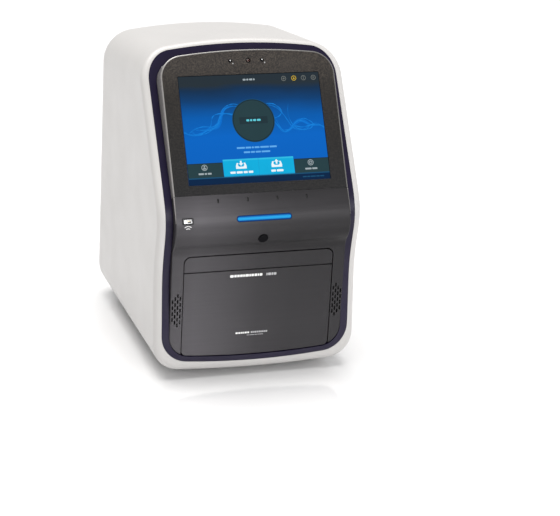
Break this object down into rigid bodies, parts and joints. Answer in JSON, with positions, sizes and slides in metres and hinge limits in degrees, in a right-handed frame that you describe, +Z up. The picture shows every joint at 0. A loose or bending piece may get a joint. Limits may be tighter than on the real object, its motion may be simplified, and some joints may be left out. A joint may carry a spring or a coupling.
{
  "type": "thermal cycler",
  "caption": "Bench-top optical thermal cycler: bowed white housing, leaning touch screen, dark fascia with light bar, and a motor-driven drawer that carries the sample block.",
  "frame": {"origin": "on the bench, in the middle of the footprint", "axes": "+Z up, +Y from the front to the back, +X to the right as seen from the front"},
  "size_m": [0.354, 0.4583, 0.5419],
  "materials": {
    "white_shell": "satin gloss",
    "navy_trim": "satin",
    "graphite": "metallic satin",
    "silver_edge": "satin",
    "dark_panel": "fine texture",
    "display": "lit picture",
    "lens_black": "gloss",
    "blue_light": "lit",
    "black_plastic": "satin",
    "sheet_steel": "zinc plated",
    "painted_panel": "fine texture paint",
    "black_cast": "fine cast texture",
    "aluminium": "machined",
    "well_block": "matt plated",
    "screw_steel": "plated",
    "rubber": "matt",
    "circuit_board": "solder mask",
    "motor_black": "satin",
    "brass": "plated",
    "filter_glass": "coated",
    "splitter_glass": "coated",
    "ceramic": "fired",
    "fan_black": "moulded"
  },
  "bodies": {
    "chassis": {"main_casing": "white_shell", "trim_ring": "navy_trim", "lower_fascia": "graphite", "screen_bezel": "silver_edge", "screen_panel": "dark_panel", "touch_display": "display", "front_boards": "circuit_board", "front_sensors": "lens_black", "status_light": "blue_light", "sensor_window": "lens_black", "usb_front_bezel": "black_plastic", "speakers": "black_plastic", "base_plate": "sheet_steel", "feet": "rubber", "case_screws": "screw_steel", "side_plates": "sheet_steel", "deck": "sheet_steel", "rails_outer": "sheet_steel", "drive_motors": "motor_black", "brackets": "sheet_steel", "cover_posts": "screw_steel", "optics_housing": "black_cast", "beam_splitter": "splitter_glass", "wheel_motors": "motor_black", "led_lens": "lens_black", "led_heat_sink": "aluminium", "read_camera": "black_cast", "power_supply": "sheet_steel", "main_board": "circuit_board", "exhaust_duct": "black_plastic", "rear_panel": "painted_panel", "fan_frames": "fan_black", "fan_guards": "screw_steel", "mains_module": "black_plastic", "inlet_pins": "brass", "data_ports": "screw_steel", "port_plate": "sheet_steel"},
    "drawer": {"drawer_front": "graphite", "drawer_strip": "graphite", "drawer_tray": "sheet_steel", "rails_inner": "sheet_steel", "drawer_rack": "sheet_steel", "block_frame": "black_cast", "sample_block": "well_block", "thermal_modules": "ceramic", "block_heat_sink": "aluminium", "block_screws": "screw_steel", "block_connector": "black_plastic"},
    "middle_rails": {"rails_middle": "sheet_steel"},
    "pinion": {"drive_pinion": "brass"},
    "heated_cover": {"heated_plate": "aluminium", "cover_carrier": "black_cast"},
    "lead_screw": {"cover_screw": "screw_steel"},
    "left_fan": {"fan_rotor_left": "fan_black"},
    "right_fan": {"fan_rotor_right": "fan_black"},
    "excitation_disc": {"excitation_wheel": "aluminium", "excitation_filters": "filter_glass"},
    "emission_disc": {"emission_wheel": "aluminium", "emission_filters": "filter_glass"},
    "rocker": {"power_rocker": "black_plastic"}
  },
  "joints": [
    {"name": "drawer_slide", "type": "slide", "parent": "chassis", "child": "drawer", "axis": [0, -1, 0], "range_m": [0, 0.24]},
    {"name": "middle_rail_slide", "type": "slide", "parent": "chassis", "child": "middle_rails", "axis": [0, -1, 0], "range_m": [0, 0.12]},
    {"name": "pinion_turn", "type": "hinge", "parent": "chassis", "child": "pinion", "pos_m": [0.06, -0.187, 0.0419], "axis": [1, 0, 0], "range_deg": [0, 1376]},
    {"name": "cover_lift", "type": "slide", "parent": "chassis", "child": "heated_cover", "axis": [0, 0, 1], "range_m": [0, 0.012]},
    {"name": "lead_screw_turn", "type": "hinge", "parent": "chassis", "child": "lead_screw", "pos_m": [0, 0.05, 0.21], "axis": [0, 0, 1], "range_deg": [0, 1081]},
    {"name": "left_fan_spin", "type": "hinge", "parent": "chassis", "child": "left_fan", "pos_m": [-0.056, 0.2097, 0.15], "axis": [0, 1, 0], "continuous": true},
    {"name": "right_fan_spin", "type": "hinge", "parent": "chassis", "child": "right_fan", "pos_m": [0.056, 0.2097, 0.15], "axis": [0, 1, 0], "continuous": true},
    {"name": "excitation_wheel_turn", "type": "hinge", "parent": "chassis", "child": "excitation_disc", "pos_m": [0.038, 0.024, 0.31], "axis": [0, 1, 0], "continuous": true},
    {"name": "emission_wheel_turn", "type": "hinge", "parent": "chassis", "child": "emission_disc", "pos_m": [0.038, -0.054, 0.38], "axis": [0, 0, 1], "continuous": true},
    {"name": "power_rocker_tilt", "type": "hinge", "parent": "chassis", "child": "rocker", "pos_m": [-0.046, 0.22, 0.08], "axis": [1, 0, 0], "range_deg": [-12, 0]}
  ],
  "couplings": [
    {"joint": "middle_rail_slide", "follows": "drawer_slide", "ratio": 0.5},
    {"joint": "pinion_turn", "follows": "drawer_slide", "rad_per_m": 100},
    {"joint": "lead_screw_turn", "follows": "cover_lift", "rad_per_m": 1570.8}
  ]
}
